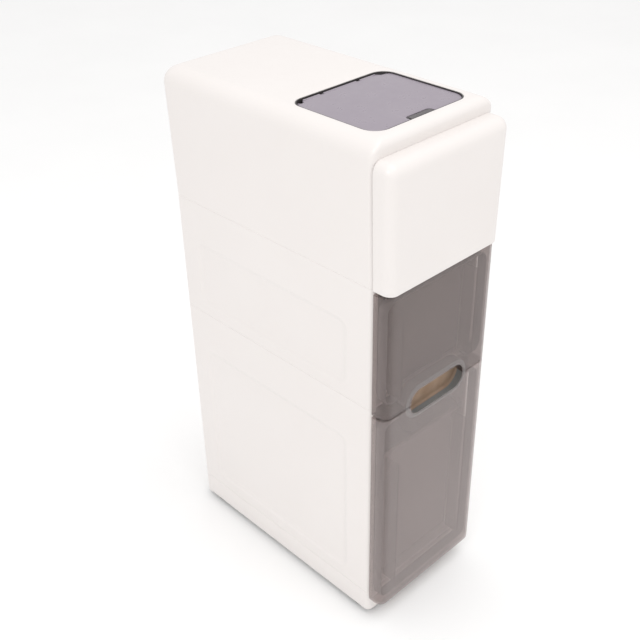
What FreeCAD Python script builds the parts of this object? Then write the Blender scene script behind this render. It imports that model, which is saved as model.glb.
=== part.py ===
import FreeCAD, Part
import os
import Sketcher

# A slim rolling waste and storage tower in white plastic, in millimetres.
# Three tiers stand on a wheeled base: a deep drawer at the bottom, a shallow drawer above it,
# and a bin drawer at the top under a hood with a sprung flap lid in its roof.
# Frame: origin on the floor under the middle of the tower, front towards -Y, +Z up.

doc = FreeCAD.newDocument("waste_tower")
sheet = doc.addObject("Spreadsheet::Sheet", "size")

dimensions = {
    # overall
    "width": 215.4,              # across the lower tiers
    "total_depth": 424.8,        # drawer face to back, lower tiers
    "front_depth": 24.8,         # how far the drawer fronts stand out of the carcass
    "floor_gap": 10,             # under the base skirt
    # heights above the floor
    "base_top": 47.6,
    "tier_seam": 399.8,
    "hood_seam": 588.3,
    "roof": 781.5,
    "front_foot": 32.5,          # bottom edge of the lower drawer's front
    "drawer_split": 393.9,       # between the two tinted fronts
    "bin_split": 585.4,          # between the upper tinted front and the white one
    "bin_front_top": 760,
    # carcass
    "wall": 4,
    "back_wall": 3,
    "seam": 0.6,                 # shadow gap between two tiers
    "front_round": 9,            # vertical edges beside the drawers
    "rear_round": 13,
    "front_return": 9.4,         # how far the walls turn in at the front
    "rear_return": 24,
    "flare": 4.5,                # the hood's spread on each side at the roof
    "roof_round": 24,
    "roof_front_round": 12,
    "header": 742,               # underside of the hood's front beam
    # shallow recesses in the side walls
    "recess_front": 45.6,        # from the carcass front
    "recess_rear": 40.9,         # from the back
    "recess_depth": 2.2,
    "recess_round": 14,
    "low_recess_foot": 66,
    "low_recess_top": 331,
    "high_recess_foot": 416.6,
    "high_recess_top": 524.7,
    # drawer fronts
    "front_wall": 2.6,
    "front_gap": 1.4,            # between neighbouring fronts, and to the carcass
    "face_round": 14,
    "foot_round": 10,
    "top_round": 16,
    "split_round": 1.2,
    # finger pull through the two tinted fronts
    "pull_width": 111,
    "pull_foot": 375.5,
    "pull_top": 412.5,
    "pull_lip": 5,               # how far the lip runs inwards
    "pull_depth": 20,
    "pocket_margin": 8,          # how much wider the pocket is than its mouth, all round
    # drawer boxes
    "box_half": 91,
    "box_wall": 2.2,
    "box_rear": 196,
    "box_round": 16,
    "foot_bend": 6,
    "rim_half": 97,
    "rim_wall": 3,
    "low_box_foot": 62,
    "low_box_top": 303,
    "high_box_foot": 408,
    "high_box_top": 557,
    "bin_box_foot": 594.6,
    "bin_box_top": 731,
    "ring_wall": 4,              # bag ring on the bin
    "ring_bar": 9,
    "rib_spread": 74,            # ribs that carry a front on its box
    "rib_wall": 3,
    # rails
    "rail_inner": 93.6,
    "rail_height": 10,
    "rail_gap": 0.4,
    "guide_height": 16,
    # roof opening, lid and catch
    "throat_half": 86.5,
    "throat_front": -168.9,
    "throat_rear": -19.9,
    "throat_round": 22,
    "collar_wall": 1.6,
    "collar_height": 18,
    "collar_fit": 0.1,
    "lid_gap": 0.7,
    "lid_wall": 3,
    "lid_sunk": 2,
    "knuckle_radius": 4,
    "pin_radius": 1.5,
    "pin_play": 0.06,
    "ear_radius": 3.4,
    "ear_wall": 6,
    "ear_spread": 33,
    "knuckle_end": 60,
    "shoulder_half": 66,         # the flap's rear corners, clear of the hole as it swings
    "shoulder_ahead": 6,
    "shoulder_round": 14,
    "catch_half": 21.5,
    "catch_depth": 10.7,
    "catch_height": 22,
    "catch_play": 0.3,
    "cup_bend": 4.95,
    "well_bend": 2.5,
    "button_bend": 2.3,
    "coil_radius": 2.35,
    "coil_height": 8.2,
    "coil_turns": 4,
    "coil_wire": 0.45,
    # rollers
    "wheel_radius": 17,
    "wheel_width": 11.4,
    "tread_round": 2,
    "axle_radius": 2.5,
    "axle_play": 0.08,
    "wheel_front": -159,
    "wheel_rear": 175,
    "bracket_wall": 2.4,
    "bracket_half": 19,
    # fastenings
    "screw_radius": 1.6,
    "screw_head": 2.8,
    "head_height": 1.2,
    "clip_width": 14,
    "clip_height": 16,
}
for row, (alias, value) in enumerate(dimensions.items(), start=1):
    sheet.set("A%d" % row, alias)
    sheet.set("B%d" % row, str(value))
    sheet.setAlias("B%d" % row, alias)
doc.recompute()


def mm(alias):
    return float(sheet.get(alias))


# Planes that many parts share, as formulas of the sheet's cells.
face = "-size.total_depth / 2"
carcass_front = "(size.front_depth - size.total_depth / 2)"
rear = "size.total_depth / 2"
side = "size.width / 2"
inner_side = "(size.width / 2 - size.wall)"
inner_rear = "(size.total_depth / 2 - size.wall)"
box_front = "(" + carcass_front + " + size.front_gap)"
deck_top = "(size.base_top + size.wall / 2)"

nodes = []


def node(label, item):
    item.Label = label
    nodes.append(item)
    return item


# ---------------------------------------------------------------- shapes
# A box between three pairs of formulas: left and right, front and back, bottom and top.
def block(name, across, along, upright):
    item = doc.addObject("Part::Box", name)
    for length, spot, (low, high) in (("Length", "x", across), ("Width", "y", along),
                                      ("Height", "z", upright)):
        item.setExpression(length, "(%s) - (%s)" % (high, low))
        item.setExpression("Placement.Base." + spot, low)
    return item


# A block that stands between the same distance left and right of the middle.
def middle_block(name, half, along, upright):
    return block(name, ("-(%s)" % half, half), along, upright)


# A block whose sides, front and back lean outwards by the given amounts at its top.
def leaning_block(name, half, along, upright, side_lean, front_lean, back_lean):
    item = doc.addObject("Part::Wedge", name)
    front, back = along
    low, high = upright
    formulas = {"Xmin": "-(%s)" % half, "Xmax": half, "Ymin": low, "Ymax": high,
                "Zmin": "-(%s)" % back, "Zmax": "-(%s)" % front,
                "X2min": "-(%s) - (%s)" % (half, side_lean), "X2max": "(%s) + (%s)" % (half, side_lean),
                "Z2min": "-(%s) - (%s)" % (back, back_lean), "Z2max": "-(%s) + (%s)" % (front, front_lean)}
    for name_of_size, formula in formulas.items():
        item.setExpression(name_of_size, formula)
    upright_turn = FreeCAD.Rotation(FreeCAD.Vector(1, 0, 0), 90)
    item.Placement = FreeCAD.Placement(FreeCAD.Vector(0, 0, 0), upright_turn)
    return item


# Rounds the named edges of a block. An edge's name is the two sides it lies between.
def rounded(name, base, radii):
    doc.recompute()
    centre = base.Shape.BoundBox.Center
    reach = (base.Shape.BoundBox.XLength, base.Shape.BoundBox.YLength, base.Shape.BoundBox.ZLength)
    words = (("left", "right"), ("front", "back"), ("bottom", "top"))
    chosen = []
    for number, edge in enumerate(base.Shape.Edges, start=1):
        offset = edge.CenterOfMass - centre
        sides = set()
        for place, length, pair in zip(offset, reach, words):
            if abs(place) > length / 4:
                sides.add(pair[0] if place < 0 else pair[1])
        for edge_name, radius in radii.items():
            if set(edge_name.split()) == sides:
                chosen.append((number, radius, radius))
    item = doc.addObject("Part::Fillet", name)
    item.Base = base
    item.Edges = chosen
    return item


def four_uprights(front_radius, back_radius):
    return {"left front": front_radius, "right front": front_radius,
            "left back": back_radius, "right back": back_radius}


def rod(name, radius, along, start, length):
    item = doc.addObject("Part::Cylinder", name)
    turns = {"x": FreeCAD.Rotation(FreeCAD.Vector(0, 1, 0), 90),
             "y": FreeCAD.Rotation(FreeCAD.Vector(1, 0, 0), -90),
             "z": FreeCAD.Rotation()}
    item.Placement = FreeCAD.Placement(FreeCAD.Vector(0, 0, 0), turns[along])
    item.setExpression("Radius", radius)
    item.setExpression("Height", length)
    for spot, formula in zip("xyz", start):
        item.setExpression("Placement.Base." + spot, formula)
    return item


def cut(name, base, tool):
    item = doc.addObject("Part::Cut", name)
    item.Base = base
    item.Tool = tool
    return item


def join(name, pieces):
    item = doc.addObject("Part::MultiFuse", name)
    item.Shapes = pieces
    return item


def overlap_of(name, first, second):
    item = doc.addObject("Part::Common", name)
    item.Base = first
    item.Tool = second
    return item


def group(name, pieces):
    item = doc.addObject("Part::Compound", name)
    item.Links = pieces
    return item


def mirrored(name, source):
    item = doc.addObject("Part::Mirroring", name)
    item.Source = source
    item.Normal = FreeCAD.Vector(1, 0, 0)
    return item


# ---------------------------------------------------------------- carcass walls
# One side wall of a tier: a plate with a rounded return at the front and a wider one at the back,
# and, where asked, a shallow recess in its outer face.
def side_wall(label, low, high, recess=None):
    outer = block(label + "_outer", ("-" + side, "size.rear_return - " + side),
                  (carcass_front, rear), (low, high))
    outer = rounded(label + "_outer_round", outer,
                    {"left front": mm("front_round"), "left back": mm("rear_round")})
    hollow = block(label + "_hollow", ("-" + inner_side, "0"),
                   (carcass_front + " + size.wall", inner_rear), (low + " - 1", high + " + 1"))
    hollow = rounded(label + "_hollow_round", hollow,
                     {"left front": mm("front_round") - mm("wall"),
                      "left back": mm("rear_round") - mm("wall")})
    mouth = block(label + "_mouth", ("size.front_return - " + side, "0"),
                  (carcass_front + " - 1", carcass_front + " + size.wall + 1"),
                  (low + " - 1", high + " + 1"))
    wall = cut(label + "_wall", cut(label + "_shell", outer, hollow), mouth)
    if recess:
        dish = block(label + "_dish", ("-" + side + " - size.recess_round", "size.recess_depth - " + side),
                     (carcass_front + " + size.recess_front", rear + " - size.recess_rear"), recess)
        corners = {pair: mm("recess_round")
                   for pair in ("front bottom", "front top", "back bottom", "back top")}
        wall = cut(label + "_recessed", wall, rounded(label + "_dish_round", dish, corners))
    left = node(label + "_left", wall)
    node(label + "_right", mirrored(label + "_mirror", left))


side_wall("base_side", "size.floor_gap", "size.base_top")
side_wall("lower_side", "size.base_top + size.seam", "size.tier_seam",
          ("size.low_recess_foot", "size.low_recess_top"))
side_wall("upper_side", "size.tier_seam + size.seam", "size.hood_seam",
          ("size.high_recess_foot", "size.high_recess_top"))


# A thin plate across the back, behind the walls' returns.
def back_panel(label, low, high):
    node(label, middle_block(label + "_plate", inner_side + " - size.rear_round",
                             (inner_rear + " - size.back_wall", inner_rear), (low, high)))


back_panel("lower_back", deck_top, "size.tier_seam - size.wall / 2")
back_panel("upper_back", "size.tier_seam + size.wall / 2", "size.hood_seam - size.wall / 2")
node("base_back_rail", middle_block("base_back_plate", inner_side + " - size.rear_round",
                                    (inner_rear + " - size.back_wall", inner_rear),
                                    ("size.floor_gap", "size.base_top - size.wall / 2")))
node("base_front_rail", middle_block("base_front_plate", side + " - size.front_return",
                                     (carcass_front, carcass_front + " + size.wall"),
                                     ("size.floor_gap", "size.base_top - size.wall")))


# A horizontal board inside the walls, straddling the seam between two tiers.
def board(label, seam_height):
    plate = middle_block(label + "_plate", inner_side,
                         (carcass_front + " + size.wall", inner_rear),
                         (seam_height + " - size.wall / 2", seam_height + " + size.wall / 2"))
    node(label, rounded(label + "_round", plate,
                        four_uprights(mm("front_round") - mm("wall"), mm("rear_round") - mm("wall"))))


board("base_deck", "size.base_top")
board("low_board", "size.tier_seam")
board("high_board", "size.hood_seam")


# ---------------------------------------------------------------- hood
# A leaning shell with a rounded roof, open below and, up to its front beam, at the front.
def top_hood():
    foot = "size.hood_seam + size.seam"
    shell = leaning_block("hood_outer", side, (carcass_front, rear), (foot, "size.roof"),
                          "size.flare", "0", "size.flare")
    roof_edges = {"left top": mm("roof_round"), "right top": mm("roof_round"),
                  "back top": mm("roof_round"), "front top": mm("roof_front_round")}
    shell = rounded("hood_outer_round", shell,
                    {**four_uprights(mm("front_round"), mm("rear_round")), **roof_edges})
    hollow = leaning_block("hood_hollow", inner_side, (carcass_front + " + size.wall", inner_rear),
                           (foot + " - 1", "size.roof - size.wall"), "size.flare", "0", "size.flare")
    inner_edges = {edge: radius - mm("wall") for edge, radius in roof_edges.items()}
    inner_uprights = four_uprights(mm("front_round") - mm("wall"), mm("rear_round") - mm("wall"))
    hollow = rounded("hood_hollow_round", hollow, {**inner_uprights, **inner_edges})
    mouth = middle_block("hood_mouth", side + " - size.front_return",
                         (carcass_front + " - 1", carcass_front + " + size.wall + 1"),
                         (foot + " - 1", "size.header"))
    throat = middle_block("hood_throat", "size.throat_half", ("size.throat_front", "size.throat_rear"),
                          ("size.roof - 2 * size.wall", "size.roof + 1"))
    throat = rounded("hood_throat_round", throat,
                     four_uprights(mm("throat_round"), mm("throat_round")))
    shell = cut("hood_shell", shell, hollow)
    node("top_hood", cut("hood_open", cut("hood_front", shell, mouth), throat))


top_hood()


# ---------------------------------------------------------------- lid, its collar and its catch
pivot_y = "(size.throat_rear - size.collar_wall - size.lid_gap - size.knuckle_radius)"
pivot_z = "(size.roof - size.lid_sunk - size.knuckle_radius)"
collar_top = "(size.roof - size.lid_sunk / 2)"
collar_front = "(size.throat_front + size.collar_wall)"


def slot_block(name, inset, low, high):
    plate = middle_block(name, "size.throat_half - " + inset,
                         ("size.throat_front + " + inset, "size.throat_rear - " + inset), (low, high))
    doc.recompute()
    radius = mm("throat_round") - (mm("throat_half") - plate.Length.Value / 2)
    return rounded(name + "_round", plate, four_uprights(radius, radius))


# The dark liner of the roof opening, with four ears that hold the lid's pin.
def lid_collar():
    low = collar_top + " - size.collar_height"
    ring = cut("collar_ring", slot_block("collar_outer", "size.collar_fit", low, collar_top),
               slot_block("collar_hole", "size.collar_wall", low + " - 1", collar_top + " + 1"))
    pieces = [ring]
    for turn, sign in (("left", "-1"), ("right", "1")):
        start = "%s * size.ear_spread - size.ear_wall / 2" % sign
        lug = rod("ear_lug_" + turn, "size.ear_radius", "x", (start, pivot_y, pivot_z), "size.ear_wall")
        web = block("ear_web_" + turn, (start, start + " + size.ear_wall"),
                    (pivot_y + " - size.ear_radius", "size.throat_rear - size.collar_wall / 2"),
                    (low, pivot_z))
        pieces += [lug, web]
    pin_hole = rod("ear_hole", "size.pin_radius", "x", ("-size.knuckle_end", pivot_y, pivot_z),
                   "2 * size.knuckle_end")
    node("lid_collar", cut("collar_drilled", join("collar_with_ears", pieces), pin_hole))


# The tinted flap: a rounded plate whose rear edge is a row of knuckles on the pin.
def flap_lid():
    top = "size.roof - size.lid_sunk"
    plate = slot_block("lid_plate", "(size.collar_wall + size.lid_gap)", top + " - size.lid_wall", top)
    reach = (top + " - 2 * size.lid_wall", top + " + 1")
    wide = middle_block("lid_wide", "size.throat_half - size.collar_wall - size.lid_gap",
                        ("size.throat_front", pivot_y + " - size.shoulder_ahead"), reach)
    wide = rounded("lid_wide_round", wide,
                   {"left back": mm("shoulder_round"), "right back": mm("shoulder_round")})
    narrow = middle_block("lid_narrow", "size.shoulder_half", ("size.throat_front", pivot_y), reach)
    ahead = join("lid_ahead", [wide, narrow])
    barrel = rod("lid_barrel", "size.knuckle_radius", "x", ("-size.knuckle_end", pivot_y, pivot_z),
                 "2 * size.knuckle_end")
    flap = join("lid_flap", [overlap_of("lid_trimmed", plate, ahead), barrel])
    clear = "(size.ear_wall / 2 + size.lid_gap)"
    for turn, sign in (("left", "-1"), ("right", "1")):
        middle = "%s * size.ear_spread" % sign
        notch = block("lid_notch_" + turn, (middle + " - " + clear, middle + " + " + clear),
                      (pivot_y + " - size.ear_radius - 2 * size.lid_gap", "size.throat_rear"),
                      (pivot_z + " - 2 * size.knuckle_radius", "size.roof"))
        flap = cut("lid_cleared_" + turn, flap, notch)
    bore = rod("lid_bore", "size.pin_radius + size.pin_play", "x",
               ("-size.knuckle_end - 1", pivot_y, pivot_z), "2 * size.knuckle_end + 2")
    finger = middle_block("lid_finger", "size.catch_half + size.lid_gap",
                          ("size.throat_front", collar_front + " + size.catch_depth + size.lid_gap"), reach)
    finger_round = rounded("lid_finger_round", finger,
                           {"left back": mm("catch_depth") / 2, "right back": mm("catch_depth") / 2})
    node("flap_lid", cut("lid_drilled", cut("lid_notched", flap, finger_round), bore))


lid_collar()
flap_lid()
node("lid_pin", rod("lid_rod", "size.pin_radius", "x",
                    ("-size.knuckle_end + 1", pivot_y, pivot_z), "2 * size.knuckle_end - 2"))


# The catch under the lid's front edge: a cup on the collar, a press button in it and its spring.
def lid_catch():
    rim = "(size.roof - size.lid_sunk - size.lid_gap)"
    foot = "(%s - size.catch_height)" % rim
    back = collar_front + " + size.catch_depth"
    inset = "size.collar_wall"
    bend = mm("cup_bend")
    cup = rounded("catch_cup_round",
                  middle_block("catch_block", "size.catch_half", (collar_front, back), (foot, rim)),
                  {"left back": bend, "right back": bend})
    well = middle_block("catch_well", "size.catch_half - " + inset,
                        (collar_front + " + " + inset, back + " - " + inset),
                        (foot + " + size.collar_wall", rim + " + 1"))
    well = rounded("catch_well_round", well, four_uprights(1, mm("well_bend")))
    node("catch_cup", cut("catch_hollow", cup, well))
    button = middle_block("button_block", "size.catch_half - %s - size.catch_play" % inset,
                          (collar_front + " + %s + size.catch_play" % inset,
                           back + " - %s - size.catch_play" % inset),
                          (rim + " - size.catch_height / 2", rim + " + size.lid_gap"))
    node("catch_button", rounded("button_round", button, four_uprights(0.8, mm("button_bend"))))
    coil = doc.addObject("Part::Feature", "coil")
    radius = mm("coil_radius")
    height = mm("coil_height")
    helix = Part.makeHelix(height / mm("coil_turns"), height, radius)
    wire = Part.makeCircle(mm("coil_wire"), FreeCAD.Vector(radius, 0, 0), FreeCAD.Vector(0, 1, 0))
    start = Part.Wire(wire)
    coil.Shape = Part.Wire(helix).makePipeShell([start], True, True)
    middle = mm("throat_front") + mm("collar_wall") + mm("catch_depth") / 2
    floor = mm("roof") - mm("lid_sunk") - mm("lid_gap") - mm("catch_height") + mm("collar_wall")
    floor += mm("coil_wire") + mm("catch_play") / 2
    coil.Placement = FreeCAD.Placement(FreeCAD.Vector(0, middle, floor), FreeCAD.Rotation())
    node("catch_spring", coil)


lid_catch()


# ---------------------------------------------------------------- drawer fronts
# A front is a shallow moulded tray, open towards the carcass, with rounded outer edges.
def front_tray(label, low, high, radii, lean="0"):
    back = carcass_front + " - size.front_gap / 2"
    wall = "size.front_wall"
    outer = leaning_block(label + "_outer", side, (face, back), (low, high), lean, lean, "0")
    outer = rounded(label + "_outer_round", outer, radii)
    inner = leaning_block(label + "_inner", side + " - " + wall, (face + " + " + wall, back + " + 1"),
                          (low + " + " + wall, high + " - " + wall), lean, lean, "0")
    softened = {edge: max(radius - mm("front_wall"), 0.8) for edge, radius in radii.items()}
    inner = rounded(label + "_inner_round", inner, softened)
    return cut(label + "_tray", outer, inner)


# A stadium-shaped bar along the pull's axis, grown outwards by a margin.
def pull_bar(name, margin, along):
    bar = middle_block(name, "size.pull_width / 2 + " + margin, along,
                       ("size.pull_foot - " + margin, "size.pull_top + " + margin))
    doc.recompute()
    bend = bar.Height.Value / 2 - 0.05
    return rounded(name + "_round", bar, {pair: bend for pair in (
        "left bottom", "left top", "right bottom", "right top")})


# The half of the pull that one front carries: a pocket behind the skin, wider than its mouth, so that
# fingers hook behind the edge, and a lip that runs inwards round the mouth.
def with_pull(label, tray, low, high):
    mid_skin = face + " + size.front_wall / 2"
    floor = face + " + size.pull_depth"
    part = middle_block(label + "_pull_part", "size.pull_width", (face, floor + " + size.wall"), (low, high))
    cup = pull_bar(label + "_cup", "size.pocket_margin + size.front_wall",
                   (mid_skin, floor + " + size.front_wall"))
    room = pull_bar(label + "_room", "size.pocket_margin", (face + " + size.front_wall", floor))
    lip = pull_bar(label + "_lip", "size.front_wall", (mid_skin, face + " + size.pull_lip"))
    mouth = pull_bar(label + "_mouth", "0", (face + " - 1", floor))
    solid = join(label + "_cupped", [tray, overlap_of(label + "_half_cup", cup, part)])
    solid = cut(label + "_roomy", solid, room)
    solid = join(label + "_lipped", [solid, overlap_of(label + "_half_lip", lip, part)])
    return cut(label + "_open", solid, mouth)


uprights = {"left front": mm("face_round"), "right front": mm("face_round")}
thin = mm("split_round")
lower_tray = front_tray("lower_front", "size.front_foot", "size.drawer_split - size.front_gap / 2",
                        {**uprights, "front bottom": mm("foot_round"), "front top": thin,
                         "left bottom": mm("foot_round"), "right bottom": mm("foot_round")})
node("lower_front", with_pull("lower_front", lower_tray, "size.front_foot", "size.drawer_split - size.front_gap / 2"))
upper_tray = front_tray("upper_front", "size.drawer_split + size.front_gap / 2",
                        "size.bin_split - size.front_gap / 2",
                        {**uprights, "front bottom": thin, "front top": thin})
node("upper_front", with_pull("upper_front", upper_tray, "size.drawer_split + size.front_gap / 2", "size.bin_split"))
white_tray = front_tray("bin_front", "size.bin_split + size.front_gap / 2", "size.bin_front_top",
                        {**uprights, "front bottom": thin, "front top": mm("top_round"),
                         "left top": mm("top_round"), "right top": mm("top_round")},
                        "size.flare * 0.9")
node("bin_front", white_tray)


# ---------------------------------------------------------------- drawer boxes
# A box with rounded corners and a rim that rides on the rails, and two ribs that carry its front.
def drawer_box(label, foot, top):
    wall = "size.box_wall"
    uprights_out = four_uprights(mm("box_round"), mm("box_round"))
    bends = ("left bottom", "right bottom", "front bottom", "back bottom")
    outer = middle_block(label + "_outer", "size.box_half", (box_front, "size.box_rear"), (foot, top))
    outer = rounded(label + "_outer_round", outer,
                    {**uprights_out, **{edge: mm("foot_bend") for edge in bends}})
    rim = middle_block(label + "_rim", "size.rim_half", (box_front, "size.box_rear + size.rim_wall"),
                       (top + " - size.rim_wall", top))
    rim = rounded(label + "_rim_round", rim, uprights_out)
    hollow = middle_block(label + "_hollow", "size.box_half - " + wall,
                          (box_front + " + " + wall, "size.box_rear - " + wall),
                          (foot + " + " + wall, top + " + 30"))
    hollow = rounded(label + "_hollow_round", hollow,
                     {**four_uprights(mm("box_round") - mm("box_wall"), mm("box_round") - mm("box_wall")),
                      **{edge: mm("foot_bend") - mm("box_wall") for edge in bends}})
    node(label, cut(label + "_shell", join(label + "_body", [outer, rim]), hollow))


def front_ribs(label, foot, top):
    ribs = []
    for turn, sign in (("left", "-1"), ("right", "1")):
        middle = "%s * size.rib_spread" % sign
        ribs.append(block(label + "_" + turn,
                          (middle + " - size.rib_wall / 2", middle + " + size.rib_wall / 2"),
                          (face + " + size.front_wall", box_front), (foot, top)))
    node(label, group(label + "_pair", ribs))


drawer_box("lower_box", "size.low_box_foot", "size.low_box_top")
drawer_box("upper_box", "size.high_box_foot", "size.high_box_top")
drawer_box("bin_box", "size.bin_box_foot", "size.bin_box_top")
front_ribs("lower_ribs", "size.low_box_foot + size.foot_bend", "size.low_box_top - size.rim_wall")
front_ribs("upper_ribs", "size.high_box_foot + size.foot_bend", "size.high_box_top - size.rim_wall")
front_ribs("bin_ribs", "size.bin_box_foot + size.foot_bend", "size.bin_box_top - size.rim_wall")


# A frame that lies on the bin's rim and holds the edge of a bag.
def bag_ring():
    low = "size.bin_box_top"
    high = "size.bin_box_top + size.ring_wall"
    front = box_front + " + size.box_wall"
    outer = middle_block("ring_outer", "size.rim_half - size.box_wall", (front, "size.box_rear"), (low, high))
    hole = middle_block("ring_hole", "size.rim_half - size.box_wall - size.ring_bar",
                        (front + " + size.ring_bar", "size.box_rear - size.ring_bar"),
                        (low + " - 1", high + " + 1"))
    bend = mm("box_round")
    node("bag_ring", cut("ring_open", rounded("ring_outer_round", outer, four_uprights(bend, bend)),
                         rounded("ring_hole_round", hole, four_uprights(bend / 2, bend / 2))))


bag_ring()


# ---------------------------------------------------------------- rails
# A bar on each side wall under a drawer's rim, with two countersunk-free pan-head screws.
def rails(label, rim_top):
    high = rim_top + " - size.rim_wall - size.rail_gap"
    low = high + " - size.rail_height"
    front = carcass_front + " + size.front_round"
    bar = block(label + "_bar", ("-" + inner_side, "-size.rail_inner"), (front, "size.box_rear"), (low, high))
    bar = rounded(label + "_bar_round", bar, {"right front": 3})
    screws = []
    for spot, share in (("front", "0.15"), ("rear", "0.85")):
        place = "(%s + %s * (size.box_rear - (%s)))" % (front, share, front)
        height = "(%s - size.rail_height / 2)" % high
        hole = rod(label + "_hole_" + spot, "size.screw_radius", "x",
                   ("-" + side, place, height), "2 * size.screw_head + size.rail_inner")
        bar = cut(label + "_drilled_" + spot, bar, hole)
        shank = rod(label + "_shank_" + spot, "size.screw_radius", "x",
                    ("-" + inner_side, place, height), inner_side + " - size.rail_inner")
        head = rod(label + "_head_" + spot, "size.screw_head", "x",
                   ("-size.rail_inner", place, height), "size.head_height")
        screws.append(join(label + "_screw_" + spot, [shank, head]))
    left = node(label + "_rail_left", bar)
    node(label + "_rail_right", mirrored(label + "_rail_mirror", left))
    return screws


left_screws = group("left_screws", rails("lower", "size.low_box_top") + rails("upper", "size.high_box_top"))
node("rail_screws", group("all_screws", [left_screws, mirrored("right_screws", left_screws)]))

guide = block("guide_bar", ("-" + inner_side, "-size.box_half - size.lid_gap"),
              (carcass_front + " + size.wall + size.front_round", "size.box_rear"),
              ("size.hood_seam + size.wall / 2", "size.hood_seam + size.wall / 2 + size.guide_height"))
guide_left = node("bin_guide_left", rounded("guide_round", guide, {"right front": 4, "right top": 2}))
node("bin_guide_right", mirrored("guide_mirror", guide_left))


# ---------------------------------------------------------------- clips that hold the tiers together
def tier_clips():
    clips = []
    for tier, seam_height in (("base", "size.base_top"), ("middle", "size.tier_seam")):
        low = seam_height + " + size.wall / 2"
        for spot, share in (("front", "0.12"), ("rear", "0.88")):
            place = "(%s + %s * (size.total_depth - size.front_depth))" % (carcass_front, share)
            clips.append(block("clip_%s_%s" % (tier, spot),
                               ("-" + inner_side, "size.back_wall - " + inner_side),
                               (place + " - size.clip_width / 2", place + " + size.clip_width / 2"),
                               (low, low + " + size.clip_height")))
    left_clips = group("left_clips", clips)
    node("tier_clips", group("all_clips", [left_clips, mirrored("right_clips", left_clips)]))


tier_clips()


# ---------------------------------------------------------------- rollers
# A grooved wheel, turned from half of its section about its axle.
def wheel(label, x, y):
    body = doc.addObject("PartDesign::Body", label + "_body")
    sketch = body.newObject("Sketcher::SketchObject", label + "_section")
    plane = [item for item in body.Origin.OriginFeatures if item.Role == "XZ_Plane"][0]
    sketch.AttachmentSupport = [(plane, "")]
    sketch.MapMode = "FlatFace"
    half, bore, tread = mm("wheel_width") / 2, mm("axle_radius") + mm("axle_play"), mm("wheel_radius")
    bend = mm("tread_round")
    points = [(-half, bore), (half, bore), (half, tread - bend), (half - bend, tread),
              (bend - half, tread), (-half, tread - bend)]
    corners = [FreeCAD.Vector(across, out, 0) for across, out in points]
    for start, end in zip(corners, corners[1:] + corners[:1]):
        sketch.addGeometry(Part.LineSegment(start, end), False)
    count = len(corners)
    for index in range(count):
        sketch.addConstraint(Sketcher.Constraint("Coincident", index, 2, (index + 1) % count, 1))
    sketch.addConstraint(Sketcher.Constraint("Vertical", 1))
    for first, second in (((0, 1), (0, 2)), ((3, 1), (3, 2)), ((1, 2), (5, 1))):
        sketch.addConstraint(Sketcher.Constraint("Symmetric", *first, *second, -2))
    sizes = (("width", "DistanceX", (0, 1, 0, 2), 2 * half, "size.wheel_width"),
             ("tread", "DistanceX", (3, 2, 3, 1), 2 * (half - bend), "size.wheel_width - 2 * size.tread_round"),
             ("bore", "DistanceY", (-1, 1, 0, 1), bore, "size.axle_radius + size.axle_play"),
             ("radius", "DistanceY", (-1, 1, 3, 1), tread, "size.wheel_radius"),
             ("shoulder", "DistanceY", (-1, 1, 1, 2), tread - bend, "size.wheel_radius - size.tread_round"))
    for name, kind, where, value, formula in sizes:
        number = sketch.addConstraint(Sketcher.Constraint(kind, *where, value))
        sketch.renameConstraint(number, name)
        sketch.setExpression("Constraints." + name, formula)
    turned = body.newObject("PartDesign::Revolution", label + "_turned")
    turned.Profile = sketch
    turned.ReferenceAxis = (sketch, ["H_Axis"])
    turned.Angle = 360
    for spot, formula in zip("xyz", (x, y, "size.wheel_radius")):
        body.setExpression("Placement.Base." + spot, formula)
    node(label, body)


# The bracket that hangs under the deck: a top plate, an inner cheek and an axle between cheek and wall.
def roller(corner, side_sign, y):
    gap = "size.lid_gap"
    outer_x = inner_side
    wheel_x = "(%s - %s - size.wheel_width / 2)" % (inner_side, gap)
    cheek_out = "(%s - 2 * %s - size.wheel_width)" % (inner_side, gap)
    cheek_in = "(%s - size.bracket_wall)" % cheek_out
    high = "size.base_top - size.wall / 2"
    low = "(%s - size.bracket_wall)" % high

    def span(near, far):
        return (near, far) if side_sign > 0 else ("-" + far, "-" + near)

    along = (y + " - size.bracket_half", y + " + size.bracket_half")
    top_plate = block("plate_" + corner, span(cheek_in, outer_x), along, (low, high))
    cheek = block("cheek_" + corner, span(cheek_in, cheek_out), along, ("size.floor_gap", high))
    bend = mm("bracket_half") * 0.6
    cheek = rounded("cheek_round_" + corner, cheek, {"front bottom": bend, "back bottom": bend})
    start_x = cheek_in if side_sign > 0 else "-" + outer_x
    hole = rod("bracket_hole_" + corner, "size.axle_radius", "x", (start_x, y, "size.wheel_radius"),
               outer_x + " - " + cheek_in)
    bracket = join("bracket_whole_" + corner, [top_plate, cheek])
    node("roller_bracket_" + corner, cut("bracket_drilled_" + corner, bracket, hole))
    node("roller_axle_" + corner, rod("axle_" + corner, "size.axle_radius", "x",
                                      (start_x, y, "size.wheel_radius"), outer_x + " - " + cheek_in))
    wheel("roller_wheel_" + corner, wheel_x if side_sign > 0 else "-" + wheel_x, y)


for spot, y in (("front", "size.wheel_front"), ("rear", "size.wheel_rear")):
    roller(spot + "_left", -1, y)
    roller(spot + "_right", 1, y)

# ---------------------------------------------------------------- check and write
doc.recompute()
for item in doc.Objects:
    if "Invalid" in item.State or "Error" in item.State:
        raise RuntimeError("failed: " + item.Name)
os.makedirs("parts", exist_ok=True)
for item in nodes:
    shape = item.Shape
    if shape.isNull() or not shape.isValid() or shape.Volume <= 0:
        raise RuntimeError("no sound shape: " + item.Label)
    shape.exportStep("parts/%s.step" % item.Label)
    print("%-28s %3d solids %9.1f cm3" % (item.Label, len(shape.Solids), shape.Volume / 1000))
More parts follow.
